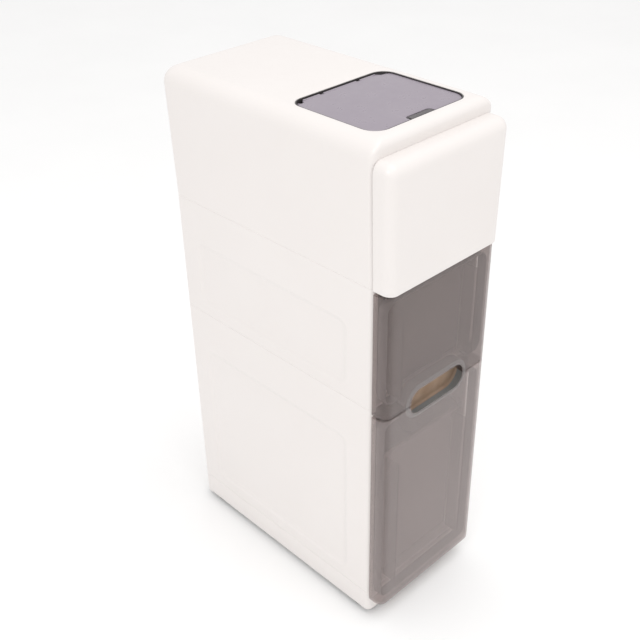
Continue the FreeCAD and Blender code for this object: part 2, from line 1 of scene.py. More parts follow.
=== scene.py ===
import math
import bmesh
import bpy
import numpy as np
from mathutils import Matrix, Vector


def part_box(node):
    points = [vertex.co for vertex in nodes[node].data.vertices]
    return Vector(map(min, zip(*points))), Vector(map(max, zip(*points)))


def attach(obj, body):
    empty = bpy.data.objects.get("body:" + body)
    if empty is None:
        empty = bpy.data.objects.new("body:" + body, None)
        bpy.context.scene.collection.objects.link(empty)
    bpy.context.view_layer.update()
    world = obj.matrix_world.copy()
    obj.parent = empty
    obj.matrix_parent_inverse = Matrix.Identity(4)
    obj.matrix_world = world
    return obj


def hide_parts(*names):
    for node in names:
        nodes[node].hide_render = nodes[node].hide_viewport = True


# A slim white waste and storage tower: two smoke-tinted drawers, a white bin front, a tinted roof flap.
# Lengths are metres in the frame's own axes, front towards -Y and up along +Z.

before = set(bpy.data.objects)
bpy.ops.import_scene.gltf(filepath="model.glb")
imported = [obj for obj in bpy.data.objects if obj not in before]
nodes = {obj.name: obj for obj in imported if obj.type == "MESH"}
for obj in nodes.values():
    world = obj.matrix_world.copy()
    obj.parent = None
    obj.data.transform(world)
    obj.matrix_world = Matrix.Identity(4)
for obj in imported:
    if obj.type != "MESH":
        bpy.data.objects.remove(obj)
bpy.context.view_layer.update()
towerHalf, towerRear = 0.1077, 0.2124      # the straight side walls' half width and the back
hair = 0.00005      # keeps a skin just inside its CAD box
corners = ("front_left", "front_right", "rear_left", "rear_right")
print("stage: frame loaded,", len(nodes), "nodes")


# A node's lowest and highest corners, as arrays.
def nodeBox(name):
    low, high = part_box(name)
    return np.array(low), np.array(high)


# A quad mesh from a rows x columns grid of points; points that coincide are merged, so poles close.
def gridPiece(name, points, closeColumns=False, flip=False):
    rowCount, columnCount = points.shape[:2]
    number = np.arange(rowCount * columnCount).reshape(rowCount, columnCount)
    across = np.roll(number, -1, axis=1) if closeColumns else number[:, 1:]
    here = number if closeColumns else number[:, :-1]
    quads = np.stack([here[:-1], across[:-1], across[1:], here[1:]], axis=-1).reshape(-1, 4)
    if flip:
        quads = quads[:, ::-1]
    mesh = bpy.data.meshes.new(name)
    mesh.from_pydata(points.reshape(-1, 3).tolist(), [], quads.tolist())
    shape = bmesh.new()
    shape.from_mesh(mesh)
    bmesh.ops.remove_doubles(shape, verts=shape.verts, dist=2e-6)
    bmesh.ops.dissolve_degenerate(shape, edges=shape.edges, dist=1e-6)
    shape.to_mesh(mesh)
    shape.free()
    mesh.shade_smooth()
    piece = bpy.data.objects.new(name, mesh)
    bpy.context.scene.collection.objects.link(piece)
    return piece


# Wall thickness behind a surface, and softened rims.
def walled(piece, thickness, rim=0.0004, even=True):
    solid = piece.modifiers.new("wall", "SOLIDIFY")
    solid.thickness = thickness
    solid.offset = -1
    solid.use_even_offset = even
    solid.use_quality_normals = True
    return softened(piece, rim)


# Edges sharper than the angle get a bevel of two segments.
def softened(piece, rim, angle=50):
    bevel = piece.modifiers.new("rim", "BEVEL")
    bevel.width = rim
    bevel.segments = 2
    bevel.limit_method = "ANGLE"
    bevel.angle_limit = math.radians(angle)
    bevel.use_clamp_overlap = True
    return piece


# A finished piece takes its material and body, and the nodes that it stands for are hidden; its slot is not
# used.
def settled(piece, body, material, slot, *replaced):
    piece.data.materials.clear()
    piece.data.materials.append(material)
    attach(piece, body)
    if replaced:
        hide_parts(*replaced)
    return piece


# How far a rolled edge has dropped at a distance in from the outline: radius less the circle's height.
def rolled(distance, radius):
    short = np.clip(radius - distance, 0, radius)
    return radius - np.sqrt(np.maximum(radius**2 - short**2, 0))


# Smooth step: three times the square less twice the cube, held between 0 and 1.
def smoothStep(value):
    held = np.clip(value, 0, 1)
    return held * held * (3 - 2 * held)


# Signed distance to a rounded rectangle centred on (0, 0): negative inside.
def rectangleDistance(a, b, halfA, halfB, radius):
    outA, outB = np.abs(a) - (halfA - radius), np.abs(b) - (halfB - radius)
    outside = np.hypot(np.maximum(outA, 0), np.maximum(outB, 0))
    return outside + np.minimum(np.maximum(outA, outB), 0) - radius


# A closed rounded rectangle for each row: four arcs joined by straight runs, anticlockwise from the
# middle of the front, with two stops either side of a mouth. Gives points and outward normals.
def planLoops(half, front, rear, frontRadius, rearRadius, mouth, step=0.0008):
    half, front, rear, frontRadius, rearRadius, mouth = (
        np.atleast_1d(value).astype(float)[:, None]
        for value in np.broadcast_arrays(half, front, rear, frontRadius, rearRadius, mouth))
    turn = np.linspace(0, math.pi / 2, 13)
    share = np.linspace(0, 1, 14)[None, 1:-1]
    spots = [(half - frontRadius, front + frontRadius, frontRadius, -math.pi / 2),
             (half - rearRadius, rear - rearRadius, rearRadius, 0.0),
             (-half + rearRadius, rear - rearRadius, rearRadius, math.pi / 2),
             (-half + frontRadius, front + frontRadius, frontRadius, math.pi)]
    stops = np.array([-1.0, -1.0, -0.6, -0.2, 0.2, 0.6, 1.0, 1.0])
    shifts = np.array([-step, 0, 0, 0, 0, 0, 0, step])
    xs = [mouth * stops[None] + shifts[None]]
    ys = [front + 0 * stops[None]]
    nx, ny = [np.zeros(8)], [-np.ones(8)]
    arcs = [(cx + radius * np.cos(start + turn)[None], cy + radius * np.sin(start + turn)[None],
             np.cos(start + turn), np.sin(start + turn)) for cx, cy, radius, start in spots]
    for index, (arcX, arcY, normalX, normalY) in enumerate(arcs):
        xs.append(arcX)
        ys.append(arcY)
        nx.append(normalX)
        ny.append(normalY)
        if index < 3:
            nextX, nextY = arcs[index + 1][0][:, :1], arcs[index + 1][1][:, :1]
            xs.append(arcX[:, -1:] + (nextX - arcX[:, -1:]) * share)
            ys.append(arcY[:, -1:] + (nextY - arcY[:, -1:]) * share)
            nx.append(np.full(share.size, normalX[-1]))
            ny.append(np.full(share.size, normalY[-1]))
    return np.concatenate(xs, 1), np.concatenate(ys, 1), np.concatenate(nx), np.concatenate(ny)


# One node, with its settings.
def addNode(tree, kind, **settings):
    made = tree.nodes.new(kind)
    for key, value in settings.items():
        setattr(made, key, value)
    return made


# Noise on the object's own coordinates, stretched along the axes.
def noiseOf(tree, scale, detail=2.0, stretch=(1, 1, 1)):
    place = addNode(tree, "ShaderNodeTexCoord")
    mapping = addNode(tree, "ShaderNodeMapping")
    mapping.inputs["Scale"].default_value = stretch
    tree.links.new(place.outputs["Object"], mapping.inputs["Vector"])
    made = addNode(tree, "ShaderNodeTexNoise")
    made.inputs["Scale"].default_value = scale
    made.inputs["Detail"].default_value = detail
    tree.links.new(mapping.outputs["Vector"], made.inputs["Vector"])
    return made.outputs["Fac"]


# The middle of a noise's range spread from low to high.
def spreadOf(tree, value, low, high):
    made = addNode(tree, "ShaderNodeMapRange")
    made.inputs["From Min"].default_value = 0.3
    made.inputs["From Max"].default_value = 0.7
    made.inputs["To Min"].default_value = low
    made.inputs["To Max"].default_value = high
    tree.links.new(value, made.inputs["Value"])
    return made.outputs["Result"]


# Two colours mixed by a factor.
def mixOf(tree, factor, first, second):
    made = addNode(tree, "ShaderNodeMix", data_type="RGBA")
    for socket, value in ((made.inputs["A"], first), (made.inputs["B"], second)):
        if isinstance(value, tuple):
            socket.default_value = (*value, 1)
        else:
            tree.links.new(value, socket)
    tree.links.new(factor, made.inputs["Factor"])
    return made.outputs["Result"]


# A bump whose depth is the distance times the strength, over the one under it.
def bumpOf(tree, height, strength, distance, under=None):
    made = addNode(tree, "ShaderNodeBump")
    made.inputs["Strength"].default_value = strength
    made.inputs["Distance"].default_value = distance
    tree.links.new(height, made.inputs["Height"])
    if under is not None:
        tree.links.new(under, made.inputs["Normal"])
    return made.outputs["Normal"]


# A node material and its main shader.
def newMaterial(name):
    material = bpy.data.materials.new(name)
    material.use_nodes = True
    tree = material.node_tree
    return material, tree, tree.nodes["Principled BSDF"]


sinkDepth, grainDepth = 0.0006, 0.00008      # of a full-strength sink mark and of the moulded grain


# The surface shared by all the plastics: cloudy colour and gloss, faint sink marks, fine grain.
def plasticSurface(tree, shader, look):
    cloud = spreadOf(tree, noiseOf(tree, look["cloudScale"], 3), 0, 1)
    colour = mixOf(tree, cloud, look["colour"], look["colourFar"])
    if "edgeWearAndHighlightColour" in look:
        # Rounded edges are mixed towards a lighter colour: on the white shell this is a painted highlight, on
        # the dark plastic it is partly wear and partly a painted highlight.
        soft = addNode(tree, "ShaderNodeBevel", samples=4)
        soft.inputs["Radius"].default_value = look["edgeWidth"]
        true = addNode(tree, "ShaderNodeNewGeometry")
        turn = addNode(tree, "ShaderNodeVectorMath", operation="DOT_PRODUCT")
        tree.links.new(soft.outputs["Normal"], turn.inputs[0])
        tree.links.new(true.outputs["Normal"], turn.inputs[1])
        wornAndLit = addNode(tree, "ShaderNodeMapRange")
        wornAndLit.inputs["From Min"].default_value = 0.98
        wornAndLit.inputs["From Max"].default_value = 0.75
        wornAndLit.inputs["To Max"].default_value = look["edgeWearAndHighlight"]
        tree.links.new(turn.outputs["Value"], wornAndLit.inputs["Value"])
        colour = mixOf(tree, wornAndLit.outputs["Result"], colour, look["edgeWearAndHighlightColour"])
    tree.links.new(colour, shader.inputs["Base Color"])
    gloss = spreadOf(tree, noiseOf(tree, look["roughScale"], 4), *look["roughness"])
    tree.links.new(gloss, shader.inputs["Roughness"])
    sink = bumpOf(tree, noiseOf(tree, look["sinkScale"], 1), look["sinkStrength"], sinkDepth)
    grain = bumpOf(tree, noiseOf(tree, look["grainScale"], 3), look["grainStrength"], grainDepth, sink)
    tree.links.new(grain, shader.inputs["Normal"])
    shader.inputs["IOR"].default_value = look.get("ior", 1.5)
    shader.inputs["Coat Weight"].default_value = look.get("coat", 0.0)
    shader.inputs["Coat Roughness"].default_value = look.get("coatRoughness", 0.1)


# Opaque moulded plastic: the shared surface alone.
def mouldedPlastic(name, look):
    material, tree, shader = newMaterial(name)
    plasticSurface(tree, shader, look)
    return material


# Tinted plastic: its own cloudy colour veils what lies behind, more so at grazing angles, and what
# still passes is multiplied by the tint.
def tintedPlastic(name, look):
    material, tree, shader = newMaterial(name)
    plasticSurface(tree, shader, look)
    clear = addNode(tree, "ShaderNodeBsdfTransparent")
    clear.inputs["Color"].default_value = (*look["tint"], 1)
    facing = addNode(tree, "ShaderNodeLayerWeight")
    facing.inputs["Blend"].default_value = look["edgeBlend"]
    veil = addNode(tree, "ShaderNodeMapRange")
    veil.inputs["To Min"].default_value = look["veil"]
    veil.inputs["To Max"].default_value = look["veilEdge"]
    tree.links.new(facing.outputs["Facing"], veil.inputs["Value"])
    mix = addNode(tree, "ShaderNodeMixShader")
    tree.links.new(veil.outputs["Result"], mix.inputs["Fac"])
    tree.links.new(clear.outputs["BSDF"], mix.inputs[1])
    tree.links.new(shader.outputs["BSDF"], mix.inputs[2])
    tree.links.new(mix.outputs["Shader"], tree.nodes["Material Output"].inputs["Surface"])
    return material


# Drawn steel: fine streaks along X with a soft sheen.
def drawnSteel(name, look):
    material, tree, shader = newMaterial(name)
    streak = noiseOf(tree, look["streakScale"], 3, look["stretch"])
    tree.links.new(mixOf(tree, streak, look["colour"], look["colourFar"]), shader.inputs["Base Color"])
    tree.links.new(spreadOf(tree, streak, *look["roughness"]), shader.inputs["Roughness"])
    tree.links.new(bumpOf(tree, streak, look["streakStrength"], look["streakDepth"]), shader.inputs["Normal"])
    shader.inputs["Metallic"].default_value = 1.0
    return material


# The white shell's lighter edge colour is a painted highlight on its rounded edges.
shellWhite = mouldedPlastic("shellWhite", {
    "colour": (0.80, 0.762, 0.742), "colourFar": (0.785, 0.745, 0.724), "cloudScale": 5,
    "edgeWearAndHighlight": 0.6, "edgeWidth": 0.0012, "edgeWearAndHighlightColour": (0.88, 0.85, 0.83),
    "roughScale": 60, "roughness": (0.30, 0.40), "sinkScale": 14, "sinkStrength": 0.06,
    "grainScale": 1400, "grainStrength": 0.12, "coat": 0.1})
innerWhite = mouldedPlastic("innerWhite", {
    "colour": (0.83, 0.79, 0.765), "colourFar": (0.80, 0.755, 0.73), "cloudScale": 8,
    "roughScale": 80, "roughness": (0.45, 0.58), "sinkScale": 20, "sinkStrength": 0.08,
    "grainScale": 1100, "grainStrength": 0.06})
# Its lighter edges are partly wear and partly a painted highlight. On the lid collar the near-black is partly
# painted shade, standing for the shadowed gap round the flap.
darkPlasticAndShade = mouldedPlastic("darkPlasticAndShade", {
    "colour": (0.035, 0.031, 0.032), "colourFar": (0.055, 0.049, 0.05), "cloudScale": 30,
    "edgeWearAndHighlight": 0.5, "edgeWidth": 0.0006, "edgeWearAndHighlightColour": (0.14, 0.13, 0.135),
    "roughScale": 200, "roughness": (0.38, 0.52), "sinkScale": 60, "sinkStrength": 0.05,
    "grainScale": 2500, "grainStrength": 0.35})
buttonGrey = mouldedPlastic("buttonGrey", {
    "colour": (0.085, 0.078, 0.083), "colourFar": (0.11, 0.10, 0.105), "cloudScale": 60,
    "roughScale": 200, "roughness": (0.35, 0.5), "sinkScale": 60, "sinkStrength": 0.05,
    "grainScale": 2500, "grainStrength": 0.35})
tyreRubber = mouldedPlastic("tyreRubber", {
    "colour": (0.022, 0.021, 0.022), "colourFar": (0.06, 0.056, 0.054), "cloudScale": 90,
    "roughScale": 300, "roughness": (0.6, 0.8), "sinkScale": 80, "sinkStrength": 0.1,
    "grainScale": 1800, "grainStrength": 0.6})
frontFinish = {"cloudScale": 4, "roughScale": 50, "roughness": (0.10, 0.17), "sinkScale": 12,
               "sinkStrength": 0.03, "grainScale": 2600, "grainStrength": 0.015, "coat": 0.25,
               "coatRoughness": 0.06, "edgeBlend": 0.35}
boxFinish = {"cloudScale": 6, "roughScale": 50, "roughness": (0.18, 0.28), "sinkScale": 15,
             "sinkStrength": 0.03, "grainScale": 2600, "grainStrength": 0.03, "edgeBlend": 0.3,
             "tint": (0.87, 0.845, 0.84), "veilEdge": 0.75}
frontSmoke = tintedPlastic("frontSmoke", {
    **frontFinish, "colour": (0.26, 0.225, 0.218), "colourFar": (0.285, 0.245, 0.238),
    "tint": (0.90, 0.855, 0.845), "veil": 0.2, "veilEdge": 0.8})
# A lighter copy of the front smoke for the lower drawer: the extra lightness is painted light, standing for
# light gathered inside the lower drawer.
litLowerSmoke = tintedPlastic("litLowerSmoke", {
    **frontFinish, "colour": (0.365, 0.323, 0.316), "colourFar": (0.395, 0.348, 0.34),
    "tint": (0.92, 0.88, 0.87), "veil": 0.2, "veilEdge": 0.8})
rimSmoke = tintedPlastic("rimSmoke", {
    **frontFinish, "colour": (0.30, 0.315, 0.32), "colourFar": (0.34, 0.355, 0.36),
    "tint": (0.70, 0.71, 0.71), "veil": 0.72, "veilEdge": 0.9})
boxSmoke = tintedPlastic("boxSmoke", {
    **boxFinish, "colour": (0.30, 0.25, 0.235), "colourFar": (0.34, 0.285, 0.265), "veil": 0.2})
# A lighter copy of the box smoke with more veil for the lower drawer's box: painted light, standing for light
# the box gathers inside the carcass.
litBoxSmoke = tintedPlastic("litBoxSmoke", {
    **boxFinish, "colour": (0.46, 0.40, 0.385), "colourFar": (0.52, 0.455, 0.44), "veil": 0.3})
pocketSmoke = tintedPlastic("pocketSmoke", {
    "colour": (0.47, 0.325, 0.225), "colourFar": (0.60, 0.435, 0.315), "cloudScale": 45,
    "roughScale": 60, "roughness": (0.12, 0.22), "sinkScale": 30, "sinkStrength": 0.05,
    "grainScale": 900, "grainStrength": 0.05, "coat": 0.3,
    "tint": (0.8, 0.6, 0.45), "edgeBlend": 0.3, "veil": 0.7, "veilEdge": 0.96})
lidSmoke = tintedPlastic("lidSmoke", {
    "colour": (0.300, 0.262, 0.305), "colourFar": (0.282, 0.244, 0.290), "cloudScale": 9,
    "roughScale": 70, "roughness": (0.26, 0.36), "sinkScale": 18, "sinkStrength": 0.01,
    "grainScale": 2600, "grainStrength": 0.01,
    "tint": (0.55, 0.5, 0.56), "edgeBlend": 0.3, "veil": 0.985, "veilEdge": 0.995})
steel = drawnSteel("drawnSteel", {
    "colour": (0.56, 0.56, 0.57), "colourFar": (0.68, 0.68, 0.69), "streakScale": 900,
    "roughness": (0.25, 0.42), "stretch": (0.08, 1, 1), "streakStrength": 0.15, "streakDepth": 0.00005})
print("stage: materials made")

sideLook = {"wall": 0.0036, "frontRound": 0.009, "rearRound": 0.013, "frontReturn": 0.0094,
            "rearReturn": 0.024, "endRound": 0.0005, "recessDepth": 0.0025, "recessBevel": 0.009,
            "recessRound": 0.018, "tongueInset": 0.00045, "tongueRise": 0.00055,
            "recessSpill": 0.002, "endSteps": (0, 0.1, 0.35, 0.65, 1.0)}


# Stops along a run: close together at both ends, even between.
def denseEnds(start, end, reach=0.026, dense=14, middle=12):
    near = np.linspace(0, reach, dense)
    return np.concatenate([start + near, np.linspace(start + reach, end - reach, middle + 2)[1:-1],
                           end - near[::-1]])


# A side wall: a plan path (return, arc, run, arc, return) carried up the tier, drawn in along its own
# normal by the rolled end rows and by the recess, whose depth follows a smooth step of its distance.
def sideWall(name, node, sign, recess=None):
    low, high = nodeBox(node)
    half, front, rear = max(abs(low[0]), abs(high[0])), low[1], high[1]
    small, large, edge = (sideLook[key] for key in ("frontRound", "rearRound", "endRound"))
    ends, spill = np.array(sideLook["endSteps"]) * edge, sideLook["recessSpill"]
    if recess:
        ahead, back, foot, top = recess
        run = denseEnds(ahead - spill, back + spill)
        middle = denseEnds(foot - spill, top + spill)
    else:
        run = np.linspace(front + 0.02, rear - 0.03, 6)
        middle = np.zeros(0)
    rise = sideLook["tongueRise"]      # a hidden tongue that reaches into the seam above
    heights = np.concatenate([low[2] + ends, middle, (high[2] - ends)[::-1], [high[2], high[2] + rise]])
    turn = np.linspace(0, math.pi / 2, 9)
    xs = np.concatenate([[-half + sideLook["frontReturn"]], -half + small - small * np.sin(turn),
                         np.full(len(run), -half), -half + large - large * np.cos(turn),
                         [-half + sideLook["rearReturn"]]])
    ys = np.concatenate([[front], front + small - small * np.cos(turn), run,
                         rear - large + large * np.sin(turn), [rear]])
    outX = np.concatenate([[0.0], -np.sin(turn), -np.ones(len(run)), -np.cos(turn), [0.0]])
    outY = np.concatenate([[-1.0], -np.cos(turn), np.zeros(len(run)), np.sin(turn), [1.0]])
    inset = rolled(np.minimum(heights - low[2], high[2] - heights), edge)
    inset[-2:] = sideLook["tongueInset"]
    inset = inset[:, None] + 0 * xs[None]
    if recess:
        distance = rectangleDistance(ys[None] - (ahead + back) / 2, heights[:, None] - (foot + top) / 2,
                                     (back - ahead) / 2, (top - foot) / 2, sideLook["recessRound"])
        onRun = (outX < -0.999)[None]
        inset = inset + sideLook["recessDepth"] * smoothStep(-distance / sideLook["recessBevel"]) * onRun
    points = np.stack([-sign * (xs[None] - outX[None] * inset), ys[None] - outY[None] * inset,
                       heights[:, None] + 0 * inset], axis=-1)
    piece = gridPiece(name, points, flip=sign < 0)
    walled(piece, sideLook["wall"], even=False)      # an even wall would spike at the tongue's step
    return settled(piece, "carcass", shellWhite, "white_shell", node)


recesses = {"base": None, "lower": (-0.1420, 0.1715, 0.066, 0.331),      # front, rear, foot and top
            "upper": (-0.1420, 0.1715, 0.4166, 0.5247)}
for tier, recess in recesses.items():
    for hand, sign in (("left", -1), ("right", 1)):
        sideWall(tier + "Side" + hand.capitalize(), tier + "_side_" + hand, sign, recess)
print("stage: side walls made")

hoodLook = {"wall": 0.0036, "flare": 0.0045, "frontRound": 0.009, "rearRound": 0.013,
            "roofRound": 0.024, "roofFrontRound": 0.012, "header": 0.742, "mouthHalf": 0.0975,
            "throatHalf": 0.0865, "throatFront": -0.1689, "throatRear": -0.0199,
            "throatRound": 0.022, "lipRound": 0.0016, "lipDepth": 0.006,
            "mouthGap": 0.001, "leastFront": 0.004,
            "leastRear": 0.006, "frontShrink": 0.35, "rearShrink": 0.45,
            "levels": (0, 0.0006, 0.002, 0.005), "levelsFrom": 0.02}


# The hood: rows climb the leaning wall, roll over into the roof, cross it flat to the throat and roll
# down into it. Above the bin the front rows start at the header.
def topHood():
    look = hoodLook
    low, high = nodeBox("top_hood")
    roof, front = high[2], low[1] + hair
    half, rear = towerHalf - hair, towerRear - hair
    levels = np.concatenate([look["levels"], np.linspace(look["levelsFrom"], 1, 11)[:-1]])
    angles = np.concatenate([np.zeros(len(levels)), np.linspace(0, math.pi / 2, 17)])
    levels = np.concatenate([levels, np.ones(17)])[:, None]
    sideInset = look["roofRound"] * (1 - np.cos(angles))
    frontInset = look["roofFrontRound"] * (1 - np.cos(angles))
    frontRadius = np.maximum(look["frontRound"] - look["frontShrink"] * frontInset, look["leastFront"])
    rearRadius = np.maximum(look["rearRound"] - look["rearShrink"] * sideInset, look["leastRear"])
    mouth = np.minimum(look["mouthHalf"], half - sideInset - frontRadius - look["mouthGap"])
    xs, ys, nx, ny = planLoops(half - sideInset, front + frontInset, rear - sideInset,
                               frontRadius, rearRadius, mouth)
    toFront = np.clip(-ny, 0, 1)[None] ** 2
    roll = look["roofRound"] + (look["roofFrontRound"] - look["roofRound"]) * toFront
    inMouth = (np.abs(xs) < mouth[:, None] + 0.0001) & (ny[None] < -0.99)
    foot = np.where(inMouth, look["header"], low[2])
    zs = foot + (roof - roll - foot) * levels + roll * np.sin(angles)[:, None]
    lean = look["flare"] * (zs - low[2]) / (roof - low[2])
    drop = rolled(zs - foot, sideLook["endRound"])
    xs = xs + np.sign(nx) * np.abs(nx) ** 0.5 * lean - nx * drop
    ys = ys + np.clip(ny, 0, 1) ** 2 * lean - ny * drop
    lip = look["lipRound"]
    rollAngles = np.linspace(0, math.pi / 2, 5)
    grow = np.concatenate([lip * (1 - np.sin(rollAngles)), [0.0]])
    lipHeights = np.concatenate([roof - lip * (1 - np.cos(rollAngles)), [roof - look["lipDepth"]]])
    lipX, lipY, _, _ = planLoops(look["throatHalf"] + grow, look["throatFront"] - grow,
                                 look["throatRear"] + grow, look["throatRound"] + grow,
                                 look["throatRound"] + grow,
                                 look["throatHalf"] - look["throatRound"] - look["mouthGap"])
    share = np.linspace(0, 1, 12)[1:-1, None]
    flatX = xs[-1:] + (lipX[:1] - xs[-1:]) * share
    flatY = ys[-1:] + (lipY[:1] - ys[-1:]) * share
    allX = np.concatenate([xs, flatX, lipX])
    allY = np.concatenate([ys, flatY, lipY])
    allZ = np.concatenate([zs, np.full_like(flatX, roof), lipHeights[:, None] + 0 * lipX])
    piece = gridPiece("topHood", np.stack([allX, allY, allZ], -1), closeColumns=True)
    walled(piece, look["wall"])
    return settled(piece, "carcass", shellWhite, "white_shell", "top_hood")


topHood()
print("stage: hood made")

frontLook = {"wall": 0.0026, "faceRound": 0.014, "splitRound": 0.002, "rear": -0.1883,
             "pullHalf": 0.0555, "pullRadius": 0.0185, "pullMiddle": 0.3940, "warp": 0.075,
             "footRound": 0.010, "binTopRound": 0.016, "binFlare": 0.0040, "binRear": -0.1877}
pocketLook = {"margin": 0.008, "depth": 0.020, "wall": 0.0014, "round": 0.005, "gap": 0.0004,
              "rimBack": 0.004, "lip": 0.0009, "lipStart": 0.0005, "mouth": 0.0022, "behind": 0.0003,
              "step": 0.0002}
ringLook = {"half": 0.0992, "corner": 0.014, "opening": 0.070, "taper": 0.001, "wall": 0.0018,
            "edge": 0.0004, "ahead": -0.2050, "back": -0.1905, "lowerSpan": (0.0455, 0.3800),
            "upperSpan": (0.4120, 0.5700)}


# A drawer front: a square grid is squeezed to a disc's corner where two rounded edges meet, so that
# corners are balls, and the outline is carried back as a skirt. Rows bend round the half stadium of
# the finger pull, at the top or at the foot, and side edges lean outwards by the flare.
def drawerFront(name, node, body, material, slot, footRound, topRound, pull=None, flare=0.0,
                rear=frontLook["rear"]):
    look = frontLook
    low, high = nodeBox(node)
    half, face, sideRound = towerHalf - hair, low[1], look["faceRound"]
    middleZ = (low[2] + high[2]) / 2
    arc = np.linspace(0, 1, 9)
    skirt = np.array([0.34, 0.67, 1.0])
    bend = look["pullHalf"] - look["pullRadius"]
    stops = bend + look["pullRadius"] * np.sin(np.linspace(0, math.pi / 2, 13))
    mid = np.concatenate([np.linspace(0, bend, 7)[:-1], stops,
                          np.linspace(look["pullHalf"], half - sideRound, 7)[1:-1]])
    mid = np.concatenate([-mid[::-1], mid[1:]])
    flatX = np.concatenate([np.full(12, -half + sideRound), mid, np.full(12, half - sideRound)])
    sineX = np.concatenate([-np.ones(3), -np.sin(arc[::-1] * math.pi / 2), 0 * mid,
                            np.sin(arc * math.pi / 2), np.ones(3)])
    backX = np.concatenate([skirt[::-1], 0 * arc, 0 * mid, 0 * arc, skirt])
    inner = np.linspace(low[2] + footRound, high[2] - topRound, 34)
    if pull:
        middle = look["pullMiddle"]
        reach = look["pullRadius"] + look["warp"]
        near = (middle - reach, high[2] - topRound) if pull == "top" else (low[2] + footRound, middle + reach)
        inner = np.sort(np.concatenate([inner, np.linspace(*near, 16)]))[1:-1]
        inner = np.concatenate([[low[2] + footRound], inner, [high[2] - topRound]])
    flatZ = np.concatenate([np.full(12, low[2] + footRound), inner, np.full(12, high[2] - topRound)])
    sineZ = np.concatenate([-np.ones(3), -np.sin(arc[::-1] * math.pi / 2), 0 * inner,
                            np.sin(arc * math.pi / 2), np.ones(3)])
    backZ = np.concatenate([skirt[::-1], 0 * arc, 0 * inner, 0 * arc, skirt])
    roundZ = np.where(sineZ < 0, footRound, topRound)[:, None]
    sx, sz = sineX[None] + 0 * sineZ[:, None], sineZ[:, None] + 0 * sineX[None]
    u, v = sx * np.sqrt(1 - sz**2 / 2), sz * np.sqrt(1 - sx**2 / 2)
    squared = u**2 + v**2
    depth = (sideRound * u**2 + roundZ * v**2) / np.maximum(squared, 1e-9)
    xs = flatX[None] + sideRound * u
    zs = flatZ[:, None] + roundZ * v
    ys = face + depth * (1 - np.sqrt(np.clip(1 - squared, 0, 1)))
    notched = (np.abs(xs) < look["pullHalf"] + 1e-6) & ((zs > middleZ) if pull == "top" else (zs < middleZ))
    skirtShare = np.maximum(backX[None], backZ[:, None]) * np.where(notched & bool(pull), 0, 1)
    ys = ys + (rear - ys) * skirtShare
    if pull:
        offset = np.clip(np.abs(xs) - bend, 0, look["pullRadius"])
        bite = np.sqrt(np.maximum(look["pullRadius"]**2 - offset**2, 0)) * (np.abs(xs) < look["pullHalf"])
        away = (high[2] - zs if pull == "top" else zs - low[2]) / look["warp"]
        zs = zs + bite * (1 - smoothStep(away)) * (-1 if pull == "top" else 1)
    lean = flare * (zs - low[2]) / (high[2] - low[2])
    xs = xs * (1 + lean / half)
    piece = gridPiece(name, np.stack([xs, ys, zs], -1))
    walled(piece, look["wall"])
    return settled(piece, body, material, slot, node)


# Half of the finger pocket: a profile that runs out behind the skin, back along the wall and in over
# the floor, carried round the lower or upper half of the pull's stadium.
def pullPocket(name, body, side):
    look, pull = pocketLook, frontLook
    face = nodeBox("lower_front")[0][1]
    bend, radius = pull["pullHalf"] - pull["pullRadius"], pull["pullRadius"]
    arc = np.linspace(0, math.pi / 2, 11)
    flat = np.linspace(-bend, bend, 13)[1:-1]
    centreX = np.concatenate([np.full(11, -bend), flat, np.full(11, bend)])
    outX = np.concatenate([-np.cos(arc), 0 * flat, np.sin(arc)])
    outZ = np.concatenate([np.sin(arc), 1 + 0 * flat, np.cos(arc)])
    turn = np.linspace(0, math.pi / 2, 6)
    start = face + pull["wall"] + look["behind"]
    back = face + look["depth"]
    bendRound = look["round"]
    reach = np.concatenate([[look["lipStart"], look["lip"], look["margin"] * 0.5],
                            look["margin"] - bendRound * 0.5 * (1 - np.sin(turn)),
                            look["margin"] - bendRound * (1 - np.cos(turn)),
                            np.linspace(look["margin"] - bendRound, -radius, 9)[1:]])
    depth = np.concatenate([[face + look["mouth"], start, start + look["step"]],
                            start + bendRound * 0.5 * (1 - np.cos(turn)),
                            back - bendRound * (1 - np.sin(turn)),
                            np.full(8, back)])
    xs = centreX[None] + (radius + reach[:, None]) * outX[None]
    zs = (radius + reach[:, None]) * np.maximum(outZ[None], 0) + look["gap"]
    ys = depth[:, None] + 0 * xs
    piece = gridPiece(name, np.stack([xs, ys, pull["pullMiddle"] + side * zs], -1), flip=side > 0)
    solid = piece.modifiers.new("wall", "SOLIDIFY")
    solid.thickness = look["wall"]
    solid.offset = -1
    settled(piece, body, pocketSmoke, "smoke_clear")
    piece.data.materials.append(rimSmoke)
    mesh = piece.data
    middles = np.zeros(len(mesh.polygons) * 3)
    mesh.polygons.foreach_get("center", middles)
    middles = middles.reshape(-1, 3)
    outward = np.hypot(np.maximum(np.abs(middles[:, 0]) - bend, 0), middles[:, 2] - pull["pullMiddle"])
    isRim = (outward > radius + look["step"]) & (middles[:, 1] < back - look["rimBack"])
    mesh.polygons.foreach_set("material_index", isRim.astype(np.int32))
    return piece


